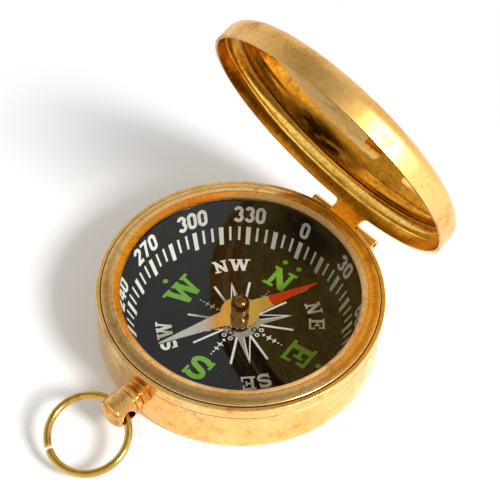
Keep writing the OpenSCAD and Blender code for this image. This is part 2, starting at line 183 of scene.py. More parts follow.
@dataclass(frozen=True)
class Brass:
    """Handled brass: golden, with brown blotches of tarnish, pin-hole pits and a satin gleam.

    The blotches are a few millimetres wide, the pits a tenth of one, drawn a little coarser to show.
    """

    name: str
    bright: str = "#fbd58c"
    warm: str = "#f2bc66"
    tarnish: str = "#b07c34"
    tarnish_share: float = 0.35
    tarnish_most: float = 0.75
    roughness: float = 0.2
    blotch_mm: float = 3.0
    grain_mm: float = 0.12
    bump: float = 0.06
    mottle_mm: float = 0.5
    mottle: float = 0.3
    pit_mm: float = 0.9
    pit_share: float = 0.1
    pit_dark: str = "#4a2c12"
    turned_mm: float = 0.0
    turned_dark: float = 0.45
    # A dark patch of painted reflection of the black dial, with some tarnish: its size, place, colour, glance tint
    # and dulling.
    stain_mm: float = 0.0
    stain_at: Spot = (0.0, 0.0, 0.0)
    stain_dark: str = "#3c220c"
    stain_glance: str = "#2c1808"
    stain_dull: float = 0.45
    glance: str = "#fff4e0"

    def make(self) -> Material:
        """Build the material.

        Returns:
            The brass material.
        """
        m = new_material(self.name)
        spot = add_node(m, "TexCoord").outputs["Object"]
        blotch = add_node(m, "TexNoise", {"Vector": spot}, Scale=1000 / self.blotch_mm, Detail=6.0,
                          Roughness=0.62).outputs["Fac"]
        grain = add_node(m, "TexNoise", {"Vector": spot}, Scale=1000 / self.grain_mm, Detail=2.0)
        colour = self.tarnished(m, spot, blotch)
        if self.turned_mm:
            colour = self.turned(m, spot, colour)
        gleam = add_node(m, "MapRange", {"Value": blotch}, From_Min=0.3, From_Max=0.75,
                         To_Min=self.roughness * 0.8, To_Max=self.roughness * 1.6).outputs["Result"]
        edge_tint = None
        # The patch paints a dark reflection of the black dial, with some tarnish, into the colour and the glance.
        if self.stain_mm:
            colour, gleam, edge_tint = self.stained(m, spot, blotch, colour, gleam)
        colour = self.pitted(m, spot, colour)
        relief = add_node(m, "Bump", {"Height": grain.outputs["Fac"]}, Strength=self.bump, Distance=0.02 * MM)
        shader = add_node(m, "BsdfPrincipled", {"Base Color": colour, "Roughness": gleam,
                                                "Normal": relief.outputs["Normal"]}, Metallic=1.0)
        if edge_tint:
            m.node_tree.links.new(edge_tint, shader.inputs["Specular Tint"])
        return close_surface(m, shader)

    def tarnished(self, m: Material, spot: Socket, blotch: Socket) -> Socket:
        """Colour the brass: a wide wash of two golds, brown blotches, and fine mottling.

        Args:
            m: The material being made.
            spot: Object coordinates.
            blotch: The blotches' noise.

        Returns:
            The tarnished colour.
        """
        wash = add_node(m, "TexNoise", {"Vector": spot}, Scale=1000 / (4 * self.blotch_mm), Detail=2.0)
        tone = add_node(m, "ValToRGB", {"Fac": wash.outputs["Fac"]})
        set_ramp(tone, [(0.35, self.bright), (0.7, self.warm)])
        edge = 0.5 + 0.28 * (0.5 - self.tarnish_share)  # the noise's value where a blotch begins
        cover = add_node(m, "MapRange", {"Value": blotch}, From_Min=edge, From_Max=edge + 0.22,
                         To_Min=0.0, To_Max=self.tarnish_most)
        brown = add_node(m, "Mix", {"Factor": cover.outputs["Result"], "6": tone.outputs["Color"]},
                         data_type="RGBA", **{"7": linear(self.tarnish)})
        fleck = add_node(m, "TexNoise", {"Vector": spot}, Scale=1000 / self.mottle_mm, Detail=5.0, Roughness=0.7)
        flecks = add_node(m, "MapRange", {"Value": fleck.outputs["Fac"]}, From_Min=0.42, From_Max=0.68,
                          To_Min=0.0, To_Max=self.mottle)
        return add_node(m, "Mix", {"Factor": flecks.outputs["Result"], "6": brown.outputs[2]},
                        data_type="RGBA", **{"7": linear(self.tarnish)}).outputs[2]

    def turned(self, m: Material, spot: Socket, under: Socket) -> Socket:
        """Draw the lathe's rings round the vertical axis, some darker than others.

        Args:
            m: The material being made.
            spot: Object coordinates.
            under: The colour without the rings.

        Returns:
            The colour with the rings.
        """
        rings = add_node(m, "TexWave", {"Vector": spot}, wave_type="RINGS", rings_direction="Z",
                         Scale=1000 / (20 * self.turned_mm), Distortion=0.6, Detail=3.0, Detail_Scale=4.0)
        cut = add_node(m, "MapRange", {"Value": rings.outputs["Fac"]}, From_Min=0.55, From_Max=1.0,
                       To_Min=0.0, To_Max=self.turned_dark)
        return add_node(m, "Mix", {"Factor": cut.outputs["Result"], "6": under}, data_type="RGBA",
                        **{"7": linear(self.tarnish)}).outputs[2]

    def pitted(self, m: Material, spot: Socket, under: Socket) -> Socket:
        """Put a small dark pit in the middle of some cells of a Voronoi pattern.

        Args:
            m: The material being made.
            spot: Object coordinates.
            under: The colour without the pits.

        Returns:
            The colour with the pits.
        """
        pits = add_node(m, "TexVoronoi", {"Vector": spot}, Scale=1000 / self.pit_mm)
        hole = add_node(m, "MapRange", {"Value": pits.outputs["Distance"]}, From_Min=0.06, From_Max=0.1,
                        To_Min=1.0, To_Max=0.0)
        chosen = add_node(m, "SeparateColor", {"Color": pits.outputs["Color"]})
        pick = add_node(m, "Math", {"0": chosen.outputs["Red"]}, operation="LESS_THAN",
                        **{"1": self.pit_share})
        share = add_node(m, "Math", {"0": hole.outputs["Result"], "1": pick.outputs[0]}, operation="MULTIPLY")
        return add_node(m, "Mix", {"Factor": share.outputs[0], "6": under}, data_type="RGBA",
                        **{"7": linear(self.pit_dark)}).outputs[2]

    def stained(self, m: Material, spot: Socket, cloud: Socket, under: Socket,
                gleam: Socket) -> tuple[Socket, Socket, Socket]:
        """Darken and dull the brass round one spot, with a ragged edge: a painted reflection of the black dial, with
        some tarnish.

        Args:
            m: The material being made.
            spot: Object coordinates.
            cloud: Noise that frays the edge.
            under: The brass's colour without the painted reflection and stain.
            gleam: The brass's roughness without the painted reflection and stain.

        Returns:
            The colour, the roughness and the tint of the flat glance, with the painted reflection and stain.
        """
        far = add_node(m, "VectorMath", {"0": spot}, operation="DISTANCE",
                       **{"1": [v * MM for v in self.stain_at]})
        near = add_node(m, "MapRange", {"Value": far.outputs["Value"]}, From_Min=0.35 * self.stain_mm * MM,
                        From_Max=self.stain_mm * MM, To_Min=1.0, To_Max=0.0)
        frayed = add_node(m, "MapRange", {"Value": cloud}, From_Min=0.3, From_Max=0.5, To_Min=0.3, To_Max=0.9)
        share = add_node(m, "Math", {"0": near.outputs["Result"], "1": frayed.outputs["Result"]},
                         operation="MULTIPLY").outputs[0]
        mixed = add_node(m, "Mix", {"Factor": share, "6": under}, data_type="RGBA",
                         **{"7": linear(self.stain_dark)})
        dull = add_node(m, "Math", {"0": share, "2": gleam}, operation="MULTIPLY_ADD",
                        **{"1": self.stain_dull})
        tint = add_node(m, "Mix", {"Factor": share}, data_type="RGBA",
                        **{"6": linear(self.glance), "7": linear(self.stain_glance)})
        return mixed.outputs[2], dull.outputs[0], tint.outputs[2]


@dataclass(frozen=True)
class Print:
    """Screen ink or enamel, satin, with the fine grain that coated card and ink show close up."""

    name: str
    colour: str
    speck: str
    roughness: float = 0.5
    grain_mm: float = 0.3
    low: float = 0.35
    high: float = 0.75
    wear: float = 0.35
    sheen: float = 0.2

    def make(self) -> Material:
        """Build the material.

        Returns:
            The ink's material.
        """
        m = new_material(self.name)
        spot = add_node(m, "TexCoord").outputs["Object"]
        grain = add_node(m, "TexNoise", {"Vector": spot}, Scale=1000 / self.grain_mm, Detail=4.0, Roughness=0.7)
        wear = add_node(m, "TexNoise", {"Vector": spot}, Scale=1000 / (8 * self.grain_mm), Detail=2.0)
        both = add_node(m, "Mix", {"2": grain.outputs["Fac"], "3": wear.outputs["Fac"]}, data_type="FLOAT",
                        **{"0": self.wear})
        tone = add_node(m, "ValToRGB", {"Fac": both.outputs[0]})
        set_ramp(tone, [(self.low, self.colour), (self.high, self.speck)])
        relief = add_node(m, "Bump", {"Height": grain.outputs["Fac"]}, Strength=0.1, Distance=0.01 * MM)
        shader = add_node(m, "BsdfPrincipled", {"Base Color": tone.outputs["Color"],
                                                "Normal": relief.outputs["Normal"]},
                          Roughness=self.roughness, Specular_IOR_Level=self.sheen)
        return close_surface(m, shader)


@dataclass(frozen=True)
class Steel:
    """Drawn steel: grey, with fine lines along the wire."""

    name: str
    colour: str = "#b9b6b0"
    dull: str = "#8b857c"
    roughness: float = 0.3
    line_mm: float = 0.15

    def make(self) -> Material:
        """Build the material.

        Returns:
            The steel's material.
        """
        m = new_material(self.name)
        spot = add_node(m, "TexCoord").outputs["Object"]
        stretch = add_node(m, "Mapping", {"Vector": spot}, Scale=(0.2, 1.0, 1.0))
        lines = add_node(m, "TexNoise", {"Vector": stretch.outputs["Vector"]}, Scale=1000 / self.line_mm,
                         Detail=3.0)
        tone = add_node(m, "ValToRGB", {"Fac": lines.outputs["Fac"]})
        set_ramp(tone, [(0.3, self.dull), (0.7, self.colour)])
        shader = add_node(m, "BsdfPrincipled", {"Base Color": tone.outputs["Color"]}, Metallic=1.0,
                          Roughness=self.roughness)
        return close_surface(m, shader)


@dataclass(frozen=True)
class Glass:
    """Flat watch glass: clear, and a faint mirror on its outer faces."""

    name: str
    tint: str = "#fbfcfb"
    ior: float = 1.5
    smear_mm: float = 14.0

    def make(self) -> Material:
        """Build the material.

        Returns:
            The glass material, which lets the lamps through.
        """
        m = new_material(self.name)
        spot = add_node(m, "TexCoord").outputs["Object"]
        smear = add_node(m, "TexNoise", {"Vector": spot}, Scale=1000 / self.smear_mm, Detail=3.0)
        film = add_node(m, "MapRange", {"Value": smear.outputs["Fac"]}, To_Min=0.0, To_Max=0.03)
        clear = add_node(m, "BsdfTransparent", Color=linear(self.tint))
        mirror = add_node(m, "BsdfAnisotropic", {"Roughness": film.outputs["Result"]}, Color=linear(WHITE))
        edge = add_node(m, "Fresnel", IOR=self.ior)
        side = add_node(m, "NewGeometry").outputs["Backfacing"]
        front = add_node(m, "Math", {"1": side}, operation="SUBTRACT", **{"0": 1.0})
        share = add_node(m, "Math", {"0": edge.outputs[0], "1": front.outputs[0]}, operation="MULTIPLY")
        both = add_node(m, "MixShader", {"Fac": share.outputs[0], "1": clear.outputs[0], "2": mirror.outputs[0]})
        return close_surface(m, both)


@dataclass(frozen=True)
class Rubber:
    """Moulded black rubber: matt, slightly dusty."""

    name: str
    colour: str = "#1b1a19"
    dust: str = "#34322f"

    def make(self) -> Material:
        """Build the rubber's material, as a print of coarser grain."""
        return Print(self.name, self.colour, self.dust, roughness=0.75, grain_mm=0.4).make()


@dataclass(frozen=True)
class Ruby:
    """Synthetic ruby: deep pink red, polished, light passing a little way in."""

    name: str
    colour: str = "#9c1430"
    pale: str = "#c8405c"
    cloud_mm: float = 0.5

    def make(self) -> Material:
        """Build the material.

        Returns:
            The ruby's material.
        """
        m = new_material(self.name)
        spot = add_node(m, "TexCoord").outputs["Object"]
        cloud = add_node(m, "TexNoise", {"Vector": spot}, Scale=1000 / self.cloud_mm, Detail=2.0)
        tone = add_node(m, "ValToRGB", {"Fac": cloud.outputs["Fac"]})
        set_ramp(tone, [(0.3, self.colour), (0.7, self.pale)])
        shader = add_node(m, "BsdfPrincipled", {"Base Color": tone.outputs["Color"]}, Roughness=0.08, IOR=1.76)
        return close_surface(m, shader)


def made(finish: Brass | Print | Steel | Glass | Rubber | Ruby) -> Material:
    """Leave a finish to be made when the finishes are."""
    return field(default_factory=finish.make)


@dataclass(frozen=True)
class Finishes:
    """The made materials of the compass, each made once."""

    # Drawn cup and collar: pale gold with many small brown clouds.
    case: Material = made(Brass("drawn_brass_case", tarnish_share=0.38, blotch_mm=2.2, mottle=0.4))
    # Turned ring: the lathe's fine rings run round it.
    bezel: Material = made(Brass(
        "turned_brass_bezel", bright="#fad088", warm="#f3be6e", tarnish="#9c682a", tarnish_share=0.3,
        blotch_mm=2.0, roughness=0.16, turned_mm=0.35, mottle=0.35))
    # Spun lid, outside: handled to a soft satin.
    lid: Material = made(Brass(
        "spun_brass_lid", bright="#f8ca7c", warm="#efb660", tarnish_share=0.4, blotch_mm=4.0,
        roughness=0.32, pit_share=0.2))
    # Lid's wall inside: less handled, so yellower and more mottled.
    lid_wall: Material = made(Brass(
        "satin_brass_inside", bright="#ffd86e", warm="#fcc854", tarnish="#9c601e", tarnish_share=0.33,
        blotch_mm=2.5, roughness=0.16, pit_share=0.2, mottle_mm=0.7, mottle=0.5))
    # Lid's top inside: a worn polish that still mirrors the dial, with one dark patch of painted reflection of the
    # black dial and some tarnish.
    lid_roof: Material = made(Brass(
        "worn_brass_inside", bright="#ffd468", warm="#f8c04c", tarnish="#6e4414", tarnish_share=0.4,
        roughness=0.035, pit_mm=1.1, pit_share=0.5, mottle_mm=0.9, mottle=0.5, bump=0.03, stain_mm=10.5,
        stain_at=(-8.6, 24.6, 21.0)))
    # Turned and polished: the brightest and cleanest of the brass.
    knob: Material = made(Brass(
        "polished_brass_knob", bright="#f0bf74", warm="#dda455", tarnish="#8e5a20", tarnish_share=0.35,
        blotch_mm=1.2, roughness=0.07, pit_share=0.04))
    # Drawn wire: greener, and shiny where fingers rub it.
    wire: Material = made(Brass(
        "drawn_brass_wire", bright="#e6c268", warm="#c99c3c", tarnish="#8a6522", tarnish_share=0.35,
        blotch_mm=1.5, roughness=0.12, pit_share=0.03))
    # Plated blade: near white, so it takes the colour of what it mirrors.
    needle: Material = made(Brass(
        "nickel_plated_needle", bright="#efece4", warm="#e6e1d6", tarnish="#cfc6b4", tarnish_share=0.2,
        blotch_mm=1.5, roughness=0.12, pit_share=0.02))
    # Old turned cap: dark brown gold with one small gleam.
    cap: Material = made(Brass(
        "aged_brass_cap", bright="#967440", warm="#76562a", tarnish="#402c14", tarnish_share=0.3,
        blotch_mm=0.8, roughness=0.1, pit_share=0.05, pit_mm=0.5))
    steel: Material = made(Steel("drawn_steel"))
    glass: Material = made(Glass("watch_glass"))
    rubber: Material = made(Rubber("black_rubber"))
    ruby: Material = made(Ruby("synthetic_ruby"))
    # Coated card: near black, and matt with the finest grey grain.
    black: Material = made(Print(
        "black_coated_card", "#040404", "#16130f", roughness=0.6, grain_mm=0.25, sheen=0.1))
    # Painted shade in a joint's gap, with old polish and dirt that darken it.
    grime: Material = made(Print("painted_joint_shade_and_dirt", "#2a1a0c", "#5a3c1c", roughness=0.6, grain_mm=0.4))
    # Thick ink: opaque, yellowed a little.
    cream: Material = made(Print("cream_screen_ink", "#fdfbf4", "#dcd6c8", low=0.4, high=0.85))
    # The same ink put on thin: the card greys it.
    grey: Material = made(Print("thin_white_ink", "#b9b6aa", "#8c887c"))
    green: Material = made(Print("green_screen_ink", "#86c63c", "#5e9e30", high=0.8))
    # Brushed lacquer: glossier than ink, with a slow change of tone.
    red: Material = made(Print(
        "red_needle_lacquer", "#cc2e06", "#a81c04", roughness=0.35, grain_mm=0.5, sheen=0.1))


# Modelling

def deselect() -> None:
    """Leave every object unselected."""
    if bpy.context.mode != "OBJECT":
        bpy.ops.object.mode_set(mode="OBJECT")
    bpy.ops.object.select_all(action="DESELECT")


def make_active(piece: Piece) -> None:
    """Select one object alone and make it active.

    Args:
        piece: The object.
    """
    deselect()
    piece.select_set(True)
    bpy.context.view_layer.objects.active = piece


@contextmanager
def editing(piece: Piece) -> Iterator[None]:
    """Work in edit mode on all of a piece's mesh.

    Args:
        piece: The mesh object, alone selected and active afterwards.

    Yields:
        Nothing, once, in edit mode.
    """
    make_active(piece)
    bpy.ops.object.mode_set(mode="EDIT")
    bpy.ops.mesh.select_all(action="SELECT")
    yield
    bpy.ops.object.mode_set(mode="OBJECT")


def traced(name: str, points: list[Flat], level: float = 0.0) -> Piece:
    """Trace a flat outline vertex by vertex, and fill it.

    Args:
        name: The new object's name.
        points: The outline's corners in millimetres.
        level: The outline's height in millimetres.

    Returns:
        One level face that may look up or down.
    """
    deselect()
    bpy.ops.mesh.primitive_plane_add(size=MM, location=(points[0][0] * MM, points[0][1] * MM, level * MM))
    piece = bpy.context.object
    piece.name = name
    bpy.ops.object.transform_apply(location=True)
    with editing(piece):
        bpy.ops.mesh.merge(type="CENTER")
        for (x0, y0), (x1, y1) in zip(points, points[1:]):
            bpy.ops.mesh.extrude_vertices_move(
                TRANSFORM_OT_translate={"value": ((x1 - x0) * MM, (y1 - y0) * MM, 0)})
        bpy.ops.mesh.select_all(action="SELECT")
        bpy.ops.mesh.edge_face_add()
    return piece


def hoop(name: str, points: list[Flat], level: float) -> Piece:
    """Trace a flat outline and keep only its edges.

    Args:
        name: The new object's name.
        points: The outline's corners in millimetres.
        level: The outline's height in millimetres.

    Returns:
        A closed loop of edges.
    """
    piece = traced(name, points, level)
    with editing(piece):
        bpy.ops.mesh.delete(type="ONLY_FACE")
    return piece


def looking_up(piece: Piece) -> Piece:
    """Turn a flat piece's faces upwards, if they look down.

    Args:
        piece: The flat piece.

    Returns:
        The same piece.
    """
    if piece.data.polygons[0].normal.z < 0:
        with editing(piece):
            bpy.ops.mesh.flip_normals()
    return piece


def plate(name: str, points: list[Flat], level: float = 0.0) -> Piece:
    """Make a flat plate that looks up from its outline's corners in millimetres."""
    return looking_up(traced(name, points, level))


def joined(name: str, pieces: list[Piece]) -> Piece:
    """Join pieces into one object.

    Args:
        name: The joined object's name.
        pieces: At least one mesh object.

    Returns:
        The joined object, at the origin.
    """
    make_active(pieces[0])
    for piece in pieces:
        piece.select_set(True)
    if len(pieces) > 1:
        bpy.ops.object.join()
    pieces[0].name = name
    return pieces[0]


def offset_line(points: list[Flat], shift: float, closed: bool) -> list[Flat]:
    """Shift a line sideways, with mitred corners.

    Args:
        points: The line's points.
        shift: Distance to the left of its direction.
        closed: Whether the line returns to its start.

    Returns:
        The shifted points, one for each point.
    """
    out = []
    last = len(points) - 1
    for i, (x, y) in enumerate(points):
        before = points[i - 1] if i > 0 or closed else points[0]
        after = points[(i + 1) % len(points)] if i < last or closed else points[last]
        a = Vector((x - before[0], y - before[1]))
        b = Vector((after[0] - x, after[1] - y))
        a = a.normalized() if a.length > TINY else b.normalized()
        b = b.normalized() if b.length > TINY else a
        along = (a + b).normalized()
        reach = shift / max(along.dot(a), MITRE)
        out.append((x - along.y * reach, y + along.x * reach))
    return out


@dataclass(frozen=True)
class Stroke:
    """One stroke of a printed letter, sign or digit."""

    line: list[Flat]
    width: float
    closed: bool = False

    def make(self, name: str, layer: int = 0) -> Piece:
        """Build the stroke as a flat strip.

        Args:
            name: The new object's name.
            layer: How many strokes lie under this one where they cross.

        Returns:
            The level strip.
        """
        level = layer * LAYER
        left = offset_line(self.line, self.width / 2, self.closed)
        right = offset_line(self.line, -self.width / 2, self.closed)
        if not self.closed:
            return plate(name, left + right[::-1], level)
        piece = joined(name, [hoop(name, left, level), hoop(name + "_in", right, level)])
        with editing(piece):
            bpy.ops.mesh.bridge_edge_loops()
            bpy.ops.mesh.select_all(action="SELECT")
            bpy.ops.mesh.normals_make_consistent(inside=False)
        return looking_up(piece)


def arc(x: float, y: float, rx: float, ry: float, start: float, end: float, steps: int = 10) -> list[Flat]:
    """Points of an elliptic arc round (x, y), from one angle in degrees to another, both ends included."""
    turn = [math.radians(start + (end - start) * i / steps) for i in range(steps + 1)]
    return [(x + rx * math.cos(t), y + ry * math.sin(t)) for t in turn]


def circle(x: float, y: float, radius: float, corners: int) -> list[Flat]:
    """Corners of a circle, each one once."""
    return arc(x, y, radius, radius, 0, 360 * (corners - 1) / corners, corners - 1)


def copy_placed(piece: Piece, place: Place) -> Piece:
    """Copy a flat piece, with its own mesh, onto the surface that carries the print.

    Args:
        piece: The flat piece, in metres on z = 0.
        place: Gives the place in metres of a flat point in millimetres.

    Returns:
        The placed copy.
    """
    make_active(piece)
    bpy.ops.object.duplicate()
    twin = bpy.context.object
    for vertex in twin.data.vertices:
        vertex.co = place(vertex.co.x / MM, vertex.co.y / MM) + Vector((0, 0, vertex.co.z))
    twin.data.update()
    return twin


def copy_raised(piece: Piece, level: float) -> Piece:
    """Copy a flat piece to a level, and delete the pattern.

    Args:
        piece: The flat piece, in metres on z = 0.
        level: The copy's level in millimetres.

    Returns:
        The raised copy.
    """
    twin = copy_placed(piece, lambda x, y: Vector((x, y, level)) * MM)
    remove([piece])
    return twin


def remove(pieces: Iterable[Piece]) -> None:
    """Delete patterns that were only copied.

    Args:
        pieces: The patterns.
    """
    deselect()
    for piece in pieces:
        piece.select_set(True)
    bpy.ops.object.delete()


def dress(piece: Piece, body: Body, slot: Slot, finish: Material, *nodes: str) -> None:
    """Give a finished piece its material and body, and report it.

    Args:
        piece: The finished piece, at the origin.
        body: The body that it rides on.
        slot: The record's slot for its finish; not used.
        finish: Its material.
        *nodes: CAD nodes that it stands for.
    """
    piece.data.materials.clear()
    piece.data.materials.append(finish)
    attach(piece, body.value)
    if nodes:
        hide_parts(*nodes)
    LOG.info("%s: %d faces, %s, on %s", piece.name, len(piece.data.polygons), finish.name, body.value)


def smoothed(node: str) -> Piece:
    """Copy a CAD node, weld its loose triangles and shade it smooth.

    Args:
        node: The CAD node's name.

    Returns:
        The welded copy, with normals weighted by face area.
    """
    make_active(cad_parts[node])
    bpy.ops.object.duplicate()
    twin = bpy.context.object
    for key in [k for k in twin.keys() if k.startswith("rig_")]:
        del twin[key]
    twin.parent = None
    twin.name = node + "_finished"
    with editing(twin):
        bpy.ops.mesh.remove_doubles(threshold=WELD)
        bpy.ops.mesh.customdata_custom_splitnormals_clear()
    bpy.ops.object.shade_smooth_by_angle(angle=math.radians(SHARP))
    weigh = twin.modifiers.new("weigh", "WEIGHTED_NORMAL")
    weigh.keep_sharp = True
    bpy.ops.object.modifier_apply(modifier=weigh.name)
    return twin


def stand_in(node: str, body: Body, slot: Slot, finish: Material) -> Piece:
    """Put a smooth, dressed copy in the place of a CAD node.

    Args:
        node: The CAD node's name.
        body: The body that it rides on.
        slot: The record's slot for its finish.
        finish: Its material.

    Returns:
        The dressed copy.
    """
    piece = smoothed(node)
    dress(piece, body, slot, finish, node)
    return piece


def refinish(piece: Piece, finish: Material, chosen: Callable[[bpy.types.MeshPolygon], bool]) -> int:
    """Give some faces of a dressed piece their own finish.

    Args:
        piece: The piece, already dressed.
        finish: The finish of the chosen faces.
        chosen: Tells whether a face takes the finish.

    Returns:
        The finish's place among the piece's materials.
    """
    piece.data.materials.append(finish)
    last = len(piece.data.materials) - 1
    for face in piece.data.polygons:
        if chosen(face):
            face.material_index = last
    return last


def level_shading(piece: Piece, index: int, normal: Vector) -> None:
    """Shade the faces of one material as if they were dead flat.

    Args:
        piece: The piece, already shaded smooth.
        index: The place of the material in the piece.
        normal: The direction that the faces look.
    """
    shown = [corner.vector.copy() for corner in piece.data.corner_normals]
    for face in piece.data.polygons:
        if face.material_index == index:
            for loop in face.loop_indices:
                shown[loop] = normal
    piece.data.normals_split_custom_set(shown)


# Sub-assemblies

@dataclass
class Case:
    """The drawn case with its collar, bezel, glass and gasket.

    A joint is a ring of painted shade and dirt round the axis: its radius, its width and its level, just off the
    brass.
    """

    bezel_joint: Spot = (21.8, 0.16, 10.415)
    case_seam: Spot = (22.42, 0.13, 8.41)
    joint_corners: int = 180

    def build(self, finishes: Finishes) -> None:
        """Build and dress the case, with lines of painted shade and dirt in its bezel's joint and its seam.

        Args:
            finishes: The compass's materials.
        """
        # Each dark ring paints the shade that falls in a joint's gap, with some dirt.
        for name in ("bezel_joint", "case_seam"):
            radius, width, level = getattr(self, name)
            ring = Stroke(circle(0, 0, radius, self.joint_corners), width, True)
            dark = copy_raised(ring.make(name + "_pattern"), level)
            dark.name = name
            dress(dark, Body.CASE, Slot.CASE_BRASS, finishes.grime)
        stand_in("case_cup", Body.CASE, Slot.CASE_BRASS, finishes.case)
        stand_in("case_collar", Body.CASE, Slot.CASE_BRASS, finishes.case)
        stand_in("bezel_ring", Body.CASE, Slot.TURNED_BRASS, finishes.bezel)
        stand_in("glass_crystal", Body.CASE, Slot.GLASS, finishes.glass)
        stand_in("glass_gasket", Body.CASE, Slot.GASKET, finishes.rubber)


def signs() -> dict[str, list[Stroke]]:
    """Strokes of the digits, in a box one wide and two high, and of the letters, in a box one by one.

    Returns:
        The strokes of each sign; a digit's widths are shares of its width.
    """
    pen, fine, flat = 0.52, 0.42, 0.46
    return {
        "0": [Stroke(arc(0.5, 1.5, 0.5, 0.5, 0, 180) + arc(0.5, 0.5, 0.5, 0.5, 180, 360), pen, True)],
        "1": [Stroke([(0.62, 0), (0.62, 2)], pen), Stroke([(0.62, 1.9), (0.1, 1.55)], fine)],
        "2": [Stroke(arc(0.5, 1.5, 0.5, 0.5, 175, -25) + [(0.05, 0.02)], pen),
              Stroke([(-0.22, 0.0), (1.2, 0.0)], pen)],
        "3": [Stroke(arc(0.5, 1.5, 0.48, 0.5, 165, -80), pen),
              Stroke(arc(0.5, 0.53, 0.52, 0.53, 80, -165), pen)],
        "4": [Stroke([(0.66, 2.2), (-0.08, 0.55)], fine), Stroke([(-0.22, 0.5), (1.3, 0.5)], fine),
              Stroke([(0.78, -0.22), (0.78, 2.2)], pen)],
        "5": [Stroke([(1.05, 2.0), (0.12, 2.0)], flat), Stroke([(0.14, 2.2), (0.02, 1.02)], fine),
              Stroke(arc(0.48, 0.65, 0.52, 0.62, 135, -160), pen)],
        "6": [Stroke(arc(0.5, 0.62, 0.5, 0.6, 0, 360, 20)[:-1], pen, True),
              Stroke([(0.0, 0.6)] + arc(0.5, 1.45, 0.5, 0.55, 180, 15), pen)],
        "7": [Stroke([(-0.2, 2.0), (1.2, 2.0)], flat), Stroke([(0.98, 2.1), (0.72, 1.3), (0.36, -0.22)], pen)],
        "8": [Stroke(arc(0.5, 0.55, 0.52, 0.55, 0, 360, 20)[:-1], pen, True),
              Stroke(arc(0.5, 1.52, 0.46, 0.48, 0, 360, 20)[:-1], pen, True)],
        "9": [Stroke(arc(0.5, 1.38, 0.5, 0.6, 0, 360, 20)[:-1], pen, True),
              Stroke([(1.0, 1.4)] + arc(0.5, 0.55, 0.5, 0.55, 0, -165), pen)],
        "N": [Stroke([(0.22, 0), (0.22, 1)], 0.17), Stroke([(0.16, 0.95), (0.8, 0.05)], 0.24),
              Stroke([(0.82, 0), (0.82, 1)], 0.16), Stroke([(0, 0.06), (0.44, 0.06)], 0.12),
              Stroke([(0, 0.94), (0.3, 0.94)], 0.12), Stroke([(0.6, 0.94), (1, 0.94)], 0.12)],
        "E": [Stroke([(0.24, 0), (0.24, 1)], 0.23), Stroke([(0, 0.93), (0.93, 0.93)], 0.14),
              Stroke([(0, 0.07), (0.97, 0.07)], 0.14), Stroke([(0.24, 0.53), (0.66, 0.53)], 0.13),
              Stroke([(0.88, 1.0), (0.86, 0.64)], 0.13), Stroke([(0.93, 0.0), (0.91, 0.4)], 0.13),
              Stroke([(0.64, 0.34), (0.64, 0.72)], 0.13)],
        "W": [Stroke([(0.15, 1), (0.34, 0)], 0.17), Stroke([(0.34, 0.05), (0.5, 0.95)], 0.11),
              Stroke([(0.5, 1), (0.69, 0)], 0.17), Stroke([(0.69, 0.05), (0.86, 1)], 0.11),
              Stroke([(0.0, 0.94), (0.3, 0.94)], 0.12), Stroke([(0.38, 0.94), (0.64, 0.94)], 0.12),
              Stroke([(0.74, 0.94), (1.0, 0.94)], 0.12)],
        "S": [Stroke(arc(0.5, 0.73, 0.33, 0.19, 25, 180, 8) + arc(0.5, 0.72, 0.33, 0.2, 200, 255, 4)
                     + arc(0.5, 0.28, 0.36, 0.2, 75, -155, 14), 0.22),
              Stroke([(0.88, 1.0), (0.88, 0.62)], 0.12), Stroke([(0.12, 0.0), (0.12, 0.38)], 0.12)],
    }


